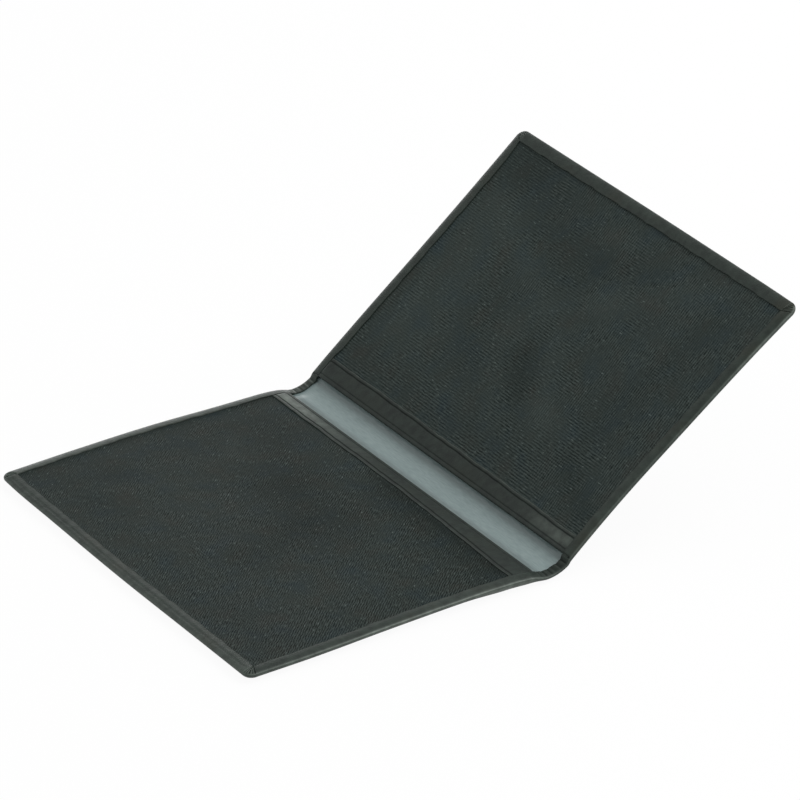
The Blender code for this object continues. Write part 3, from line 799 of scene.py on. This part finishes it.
# Full-grain cowhide, dyed black, with a thin satin finish: fine pores in the grain, a soft shine
# that shows every fold, and cloudy high spots. A pale line is painted along the turned edge, its
# highlight with some rubbed wear, and creases and hollows are painted dark with their shade.
cowhide = {
    "dark": "#1a231e",
    "light": "#29332d",
    "warm": "#292b20",
    # pale colour of tones above 0: rubbed wear, and painted highlights, sheen and reflections
    "rubbedAndSheen": "#88928a",
    # dark colour of tones below 0: painted shade in creases, pleats and hollows, and darker lines and strips
    "pressed": "#070a09",
    "roughness": 0.46,
    "ior": 1.48,
    "specular": 0.25,
    "poreSize": 0.42,
    "poreDepth": 0.035,
    "cloudSize": 2.0,
    "cloudRange": (0.32, 0.68),   # of the noise
    "warmRange": (0.52, 0.72),
    "warmShare": 0.5,
    "rubAndSheenStrength": 0.9,
    "dullTone": -0.6,   # from that tone down it is quite dull
}


def makeLeather(name, own):
    material, tree, shader = startMaterial(name, own)
    place = addNode(tree, "TexCoord", output="Object")
    poreSize, cloudSize = own["poreSize"], own["cloudSize"]
    pores = addNode(tree, "TexVoronoi", {"Vector": place, "Scale": scaleFor(poreSize)}, feature="SMOOTH_F1")
    fine, cloud, tint = [
        addNode(tree, "TexNoise", {"Vector": place, "Scale": scaleFor(size), "Detail": detail})
        for size, detail in ((poreSize / 3, 2.0), (cloudSize, 5.0), (5 * cloudSize, 2.0))]
    height = addNode(tree, "Math", {0: fine, 1: 0.5, 2: pores}, operation="MULTIPLY_ADD")
    low, high = own["cloudRange"]
    shade = addNode(tree, "MapRange", {"Value": cloud, "From Min": low, "From Max": high})
    # What is painted pale, highlight and rubbed wear alike, is patchy: half of it follows the clouds
    tone = addNode(tree, "Attribute", output="Fac", attribute_name="tone")
    patchy = addNode(tree, "Math", {0: shade, 1: 0.5, 2: 0.5}, operation="MULTIPLY_ADD")
    sheenAndWear = addNode(tree, "Math", {0: tone, 1: patchy}, operation="MULTIPLY")
    dull = addNode(tree, "MapRange", {"Value": tone, "From Max": own["dullTone"],
                                      "To Min": own["roughness"], "To Max": 1.0})
    tree.links.new(dull, shader.inputs["Roughness"])
    layers = [("light", shade, (0.0, 1.0), 1.0),
              ("warm", tint, own["warmRange"], own["warmShare"]),
              ("rubbedAndSheen", sheenAndWear, (0.0, 1.0), own["rubAndSheenStrength"]),
              ("pressed", tone, (0.0, -1.0), 1.0)]
    finishMaterial(tree, shader, own, "dark", layers, height, own["poreDepth"])
    return material


# Nylon lining cloth, woven of black filament yarn with a blue-green cast. Two systems of ribs cross,
# and the stretch of the cloth lets now one and now the other show. The ribs' light and shade are painted:
# crests pale, the gaps between them dark; and a few floating yarns are painted as paler dashes, their glint.
ribbedNylon = {
    "gap": "#0f1513",
    "crest": "#404845",
    "blue": "#25333b",
    "warm": "#35312b",
    "dash": "#6a7571",
    "roughness": 0.6,
    "ior": 1.53,
    "specular": 0.03,
    "ribDepth": 0.05,
    "patchSize": 13.0,
    "contrastSize": 7.0,
    "hazeSize": 8.0,
    "yarnLength": 1.5,
    "yarnWidth": 0.30,
    "yarnShare": 2.4,   # weight of the yarns, against 1 of the ribs
    "weaveRange": (1.05, 2.35),   # height of the gaps and of the crests
    "plain": 0.45,      # share of the crest's colour where the contrast is low
    "changeWidth": 0.08,          # half width of the change from one rib system to the other
    "contrastWidth": 0.12,        # and of the change of the contrast
    "leastContrast": 0.3,
    "blueRange": (0.50, 0.74),    # of the haze
    "warmRange": (0.46, 0.26),
    "hazeShare": 0.3,
    "dashRange": (0.68, 0.80),    # of the yarns
    "dashShare": 0.7,
}

# Pitch in millimetres and angle in degrees from across of the two rib systems, the wobble of the
# ribs, how much of the second system shows at least and at most, and per metre across and along, how
# fast it gains on the first and how fast the contrast grows, with the middle of the change
leafRibs = {
    "left": {"first": (0.55, 42.0), "second": (0.73, 88.0), "wobble": 3.6, "shows": (0.04, 0.35),
             "gain": (0.0, 0.0, 0.0), "gainMiddle": 0.58, "sharper": (0.0, -2.6, 0.0), "sharpMiddle": 0.46},
    "right": {"first": (0.71, 89.5), "second": (0.74, 8.0), "wobble": 1.2, "shows": (0.15, 0.82),
              "gain": (5.6, -4.8, 0.0), "gainMiddle": 1.30, "sharper": (0.0, -1.2, 0.0), "sharpMiddle": 0.48},
}


def makeCloth(name, own, ribs):
    material, tree, shader = startMaterial(name, own)
    flat = addNode(tree, "UVMap", uv_map="flat")

    # One rib system: wobbling waves across the ribs, each rib broken into yarns along its length
    def ribSystem(pitch, angle):
        turn = (0.0, 0.0, math.radians(90.0 - angle))
        turned = addNode(tree, "Mapping", {"Vector": flat, "Rotation": turn})
        wave = addNode(tree, "TexWave", {"Vector": turned, "Scale": math.pi / 10 * scaleFor(pitch),
                                         "Distortion": ribs["wobble"], "Detail": 2.0,
                                         "Detail Scale": 1.1}, "Fac")
        yarnScale = (1 / own["yarnWidth"], 1 / own["yarnLength"], 1.0)
        stretched = addNode(tree, "Mapping", {"Vector": turned, "Scale": yarnScale})
        yarn = addNode(tree, "TexNoise", {"Vector": stretched, "Scale": 1 / mm, "Detail": 1.0})
        both = {0: yarn, 1: own["yarnShare"], 2: wave}
        return addNode(tree, "Math", both, operation="MULTIPLY_ADD"), yarn

    # Share that changes over the leaf: from low to high as a noise and a steady slope grow together
    def changing(noise, slope, middle, width, low, high):
        steady = addNode(tree, "VectorMath", {0: flat, 1: slope}, "Value", operation="DOT_PRODUCT")
        total = addNode(tree, "Math", {0: noise, 1: steady}, operation="ADD")
        ranges = {"From Min": middle - width, "From Max": middle + width, "To Min": low, "To Max": high}
        return addNode(tree, "MapRange", {"Value": total, **ranges})

    firstRibs, firstYarn = ribSystem(*ribs["first"])
    secondRibs = ribSystem(*ribs["second"])[0]
    patch, place, haze = [
        addNode(tree, "TexNoise", {"Vector": flat, "Scale": scaleFor(own[size]), "Detail": detail})
        for size, detail in (("patchSize", 1.5), ("contrastSize", 2.0), ("hazeSize", 3.0))]
    chosen = changing(patch, ribs["gain"], ribs["gainMiddle"], own["changeWidth"], *ribs["shows"])
    contrast = changing(place, ribs["sharper"], ribs["sharpMiddle"], own["contrastWidth"],
                        own["leastContrast"], 1.0)
    weave = addNode(tree, "Mix", {"Factor": chosen, "A": firstRibs, "B": secondRibs}, "Result",
                    data_type="FLOAT")
    lowest, highest = own["weaveRange"]
    spread = addNode(tree, "MapRange", {"Value": weave, "From Min": lowest, "From Max": highest})
    shade = addNode(tree, "Mix", {"Factor": contrast, "A": own["plain"], "B": spread}, "Result",
                    data_type="FLOAT")
    tone = addNode(tree, "Attribute", output="Fac", attribute_name="tone")
    # The ribs' light and shade are painted: crests pale, gaps dark
    layers = [("crest", shade, (0.0, 1.0), 1.0),
              ("blue", haze, own["blueRange"], own["hazeShare"]),
              ("warm", haze, own["warmRange"], own["hazeShare"]),
              # The folds' tone: ridges painted pale with their light, hollows painted dark with their shade
              ("crest", tone, (0.0, 1.0), 1.0),
              ("gap", tone, (0.0, -1.0), 1.0),
              ("dash", firstYarn, own["dashRange"], own["dashShare"])]
    finishMaterial(tree, shader, own, "gap", layers, weave, own["ribDepth"])
    return material


# Acetate satin in grey-green: long floats along the fold give a smooth face. Its soft streaky shine is
# painted as paler streaks along the fold, and beside the trims it is painted darker with their shade.
greySatin = {
    "dark": "#6d7e7e",
    "light": "#849493",
    "shaded": "#232b2b",
    "roughness": 0.36,
    "ior": 1.47,
    "specular": 0.5,
    "floats": 0.12,     # scale of the noise along the fold
    "threadPitch": 0.3,
    "threadDepth": 0.006,
    "streakSize": 5.0,
    "streakRange": (0.45, 1.05),
}


def makeSatin(name, own):
    material, tree, shader = startMaterial(name, own)
    flat = addNode(tree, "UVMap", uv_map="flat")
    stretched = addNode(tree, "Mapping", {"Vector": flat, "Scale": (1.0, own["floats"], 1.0)})
    threads, streaks = [
        addNode(tree, "TexNoise", {"Vector": stretched, "Scale": scaleFor(own[size]), "Detail": detail})
        for size, detail in (("threadPitch", 2.0), ("streakSize", 3.0))]
    mixed = addNode(tree, "Math", {0: streaks, 1: 0.5, 2: threads}, operation="MULTIPLY_ADD")
    tone = addNode(tree, "Attribute", output="Fac", attribute_name="tone")
    layers = [("light", mixed, own["streakRange"], 1.0),
              ("shaded", tone, (0.0, -1.0), 1.0)]
    finishMaterial(tree, shader, own, "dark", layers, threads, own["threadDepth"])
    return material


# Bonded leather fibre board, rolled flat: grey, dull, with short fibres. It has no tones, so nothing is
# painted paler or darker on it.
fibreBoard = dict(cowhide, dark="#5b564e", light="#7a7468", warm="#6f6250", roughness=0.9, ior=1.45,
                  specular=0.3, poreSize=1.1, poreDepth=0.03, cloudSize=3.0)

leatherMaterial = makeLeather("black_full_grain_cowhide", cowhide)
# The same hide, pared thin for the trims: darker and duller
trimMaterial = makeLeather("black_pared_cowhide", dict(cowhide, dark="#171e1b", light="#252e29",
                                                       warm="#232a23", roughness=0.56))
clothLeft = makeCloth("black_ribbed_nylon_left", ribbedNylon, leafRibs["left"])
# The right leaf's cloth looks paler, so it is given paler colours: a lit copy of the same cloth, painted
# light
clothRight = makeCloth("black_ribbed_nylon_right", dict(ribbedNylon, gap="#1c2321", crest="#49524f",
                                                        blue="#2a3a43", warm="#3c3832"), leafRibs["right"])
satinMaterial = makeSatin("grey_acetate_satin", greySatin)
boardMaterial = makeLeather("bonded_fibre_board", fibreBoard)

# What each piece is made of, the record's slot and which CAD nodes it stands for
dressing = [
    (coverLeft, leatherMaterial, "cover_leather", ["left_cover", "spine_cover"]),
    (coverRight, leatherMaterial, "cover_leather", ["right_cover", "spine_cover"]),
    (liningLeft, satinMaterial, "lining_satin", ["left_pocket_lining", "spine_lining"]),
    (liningRight, satinMaterial, "lining_satin", ["right_pocket_lining", "spine_lining"]),
    (boardLeft, boardMaterial, "stiffener_board", ["left_board"]),
    (boardRight, boardMaterial, "stiffener_board", ["right_board"]),
    (faceLeft, clothLeft, "pocket_nylon", ["left_pocket_face"]),
    (faceRight, clothRight, "pocket_nylon", ["right_pocket_face"]),
    (trimLeft, trimMaterial, "trim_leather", ["left_mouth_trim"]),
    (trimRight, trimMaterial, "trim_leather", ["right_mouth_trim"]),
]
for piece, material, slotName, nodes in dressing:
    piece.data.materials.append(material)
    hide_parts(*nodes)

for piece in (boardLeft, faceLeft, trimLeft):
    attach(piece, "left_leaf")
for piece in (boardRight, faceRight, trimRight):
    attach(piece, "right_leaf")

# Places where the cover and the lining would bend across the gutter, each half up to the middle of the
# spine; they are worked out here but nothing uses them, and the halves only have their transforms baked.
# The three places lie square to the fold, so y is set to 0: otherwise the halves would part towards the ends.
bendStart = 0.4
bendAt = [tuple(placed(across, 0.0, layerHeights["leather"]) * (1, 0, 1))
          for across in (leftMouth + bendStart, gutterMiddle, rightMouth - bendStart)]
for piece in (coverLeft, liningLeft):
    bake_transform(piece)
for piece in (coverRight, liningRight):
    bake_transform(piece)

print("pieces dressed")

# Studio

# Floor and lights in metres and watts, and the camera in millimetres and degrees
studio = {
    "floorColour": "#fcfcfc",
    "floorSize": 4.0,
    "floorDrop": 0.0009,          # the spine reaches 0.85 mm down where the case lies flat
    "paper": {"roughness": 0.9, "ior": 1.5, "specular": 0.0},
    "floorGlow": 0.94,  # how much of the floor's own shade the camera doesn't see
    "worldLevel": 0.58,
    "key": {"place": (0.62, -0.36, 0.86), "size": (0.8, 0.8), "power": 7.0},
    "back": {"place": (0.50, 0.78, 0.13), "size": (1.0, 0.14), "power": 1.7},
    "lookAt": (8.38, 9.16, 17.64),
    "azimuth": 33.144,
    "elevation": 27.844,
    "distance": 1340.0,
    "lens": 256.5,
    "sensor": 36.0,
    "clip": (50.0, 20000.0),
}

half = studio["floorSize"] / 2
floorMesh = bpy.data.meshes.new("floor")
floorPlaces = ((-half, -half), (half, -half), (half, half), (-half, half))
floorMesh.from_pydata([(x, y, -studio["floorDrop"]) for x, y in floorPlaces], [], [(0, 1, 2, 3)])
floor = bpy.data.objects.new("floor", floorMesh)
scene.collection.objects.link(floor)


# 1 for camera, glossy and transmission rays, which see the plain white studio, and 0 for the others.
def seenRays(tree):
    seen = 0.0
    for name in ("Is Camera Ray", "Is Glossy Ray", "Is Transmission Ray"):
        ray = addNode(tree, "LightPath", output=name)
        seen = addNode(tree, "Math", {0: seen, 1: ray}, operation="MAXIMUM")
    return seen


# White paper: seen directly it is white and keeps a faint shadow of the case
floorMaterial, floorTree, paper = startMaterial("white_studio_paper", studio["paper"])
paper.inputs["Base Color"].default_value = hexColour(studio["floorColour"])
white = addNode(floorTree, "Emission", {"Color": (1.0, 1.0, 1.0, 1.0), "Strength": 1.0})
share = addNode(floorTree, "Math", {0: seenRays(floorTree), 1: studio["floorGlow"]}, operation="MULTIPLY")
both = addNode(floorTree, "MixShader", {0: share, 1: paper.outputs[0], 2: white})
floorTree.links.new(both, floorTree.nodes["Material Output"].inputs["Surface"])
floorMesh.materials.append(floorMaterial)

world = bpy.data.worlds.new("studio")
scene.world = world
world.use_nodes = True
skyTree = world.node_tree
sky = skyTree.nodes["Background"]
level = addNode(skyTree, "MapRange", {"Value": seenRays(skyTree), "To Min": studio["worldLevel"]})
skyTree.links.new(level, sky.inputs["Strength"])
sky.inputs["Color"].default_value = (1.0, 1.0, 1.0, 1.0)

# Two softboxes: the key over the near right, and a long low one behind, out of the camera's sight
for name in ("key", "back"):
    light = bpy.data.lights.new(name, "AREA")
    light.shape = "RECTANGLE"
    light.size, light.size_y = studio[name]["size"]
    light.energy = studio[name]["power"]
    lamp = bpy.data.objects.new(name, light)
    lamp.location = studio[name]["place"]
    lamp.rotation_mode = "QUATERNION"
    lamp.rotation_quaternion = (-Vector(studio[name]["place"])).to_track_quat("-Z", "Y")
    lamp.visible_camera = False
    scene.collection.objects.link(lamp)

azimuth = math.radians(studio["azimuth"])
elevation = math.radians(studio["elevation"])
sight = Vector((math.sin(azimuth) * math.cos(elevation), math.cos(azimuth) * math.cos(elevation),
                -math.sin(elevation)))
cameraData = bpy.data.cameras.new("camera")
cameraData.lens = studio["lens"]
cameraData.sensor_width = studio["sensor"]
cameraData.clip_start, cameraData.clip_end = [distance * mm for distance in studio["clip"]]
camera = bpy.data.objects.new("camera", cameraData)
camera.location = (Vector(studio["lookAt"]) - sight * studio["distance"]) * mm
camera.rotation_mode = "QUATERNION"
camera.rotation_quaternion = sight.to_track_quat("-Z", "Y")
scene.collection.objects.link(camera)
scene.camera = camera
scene.view_settings.view_transform = "Standard"

print("scene ready")
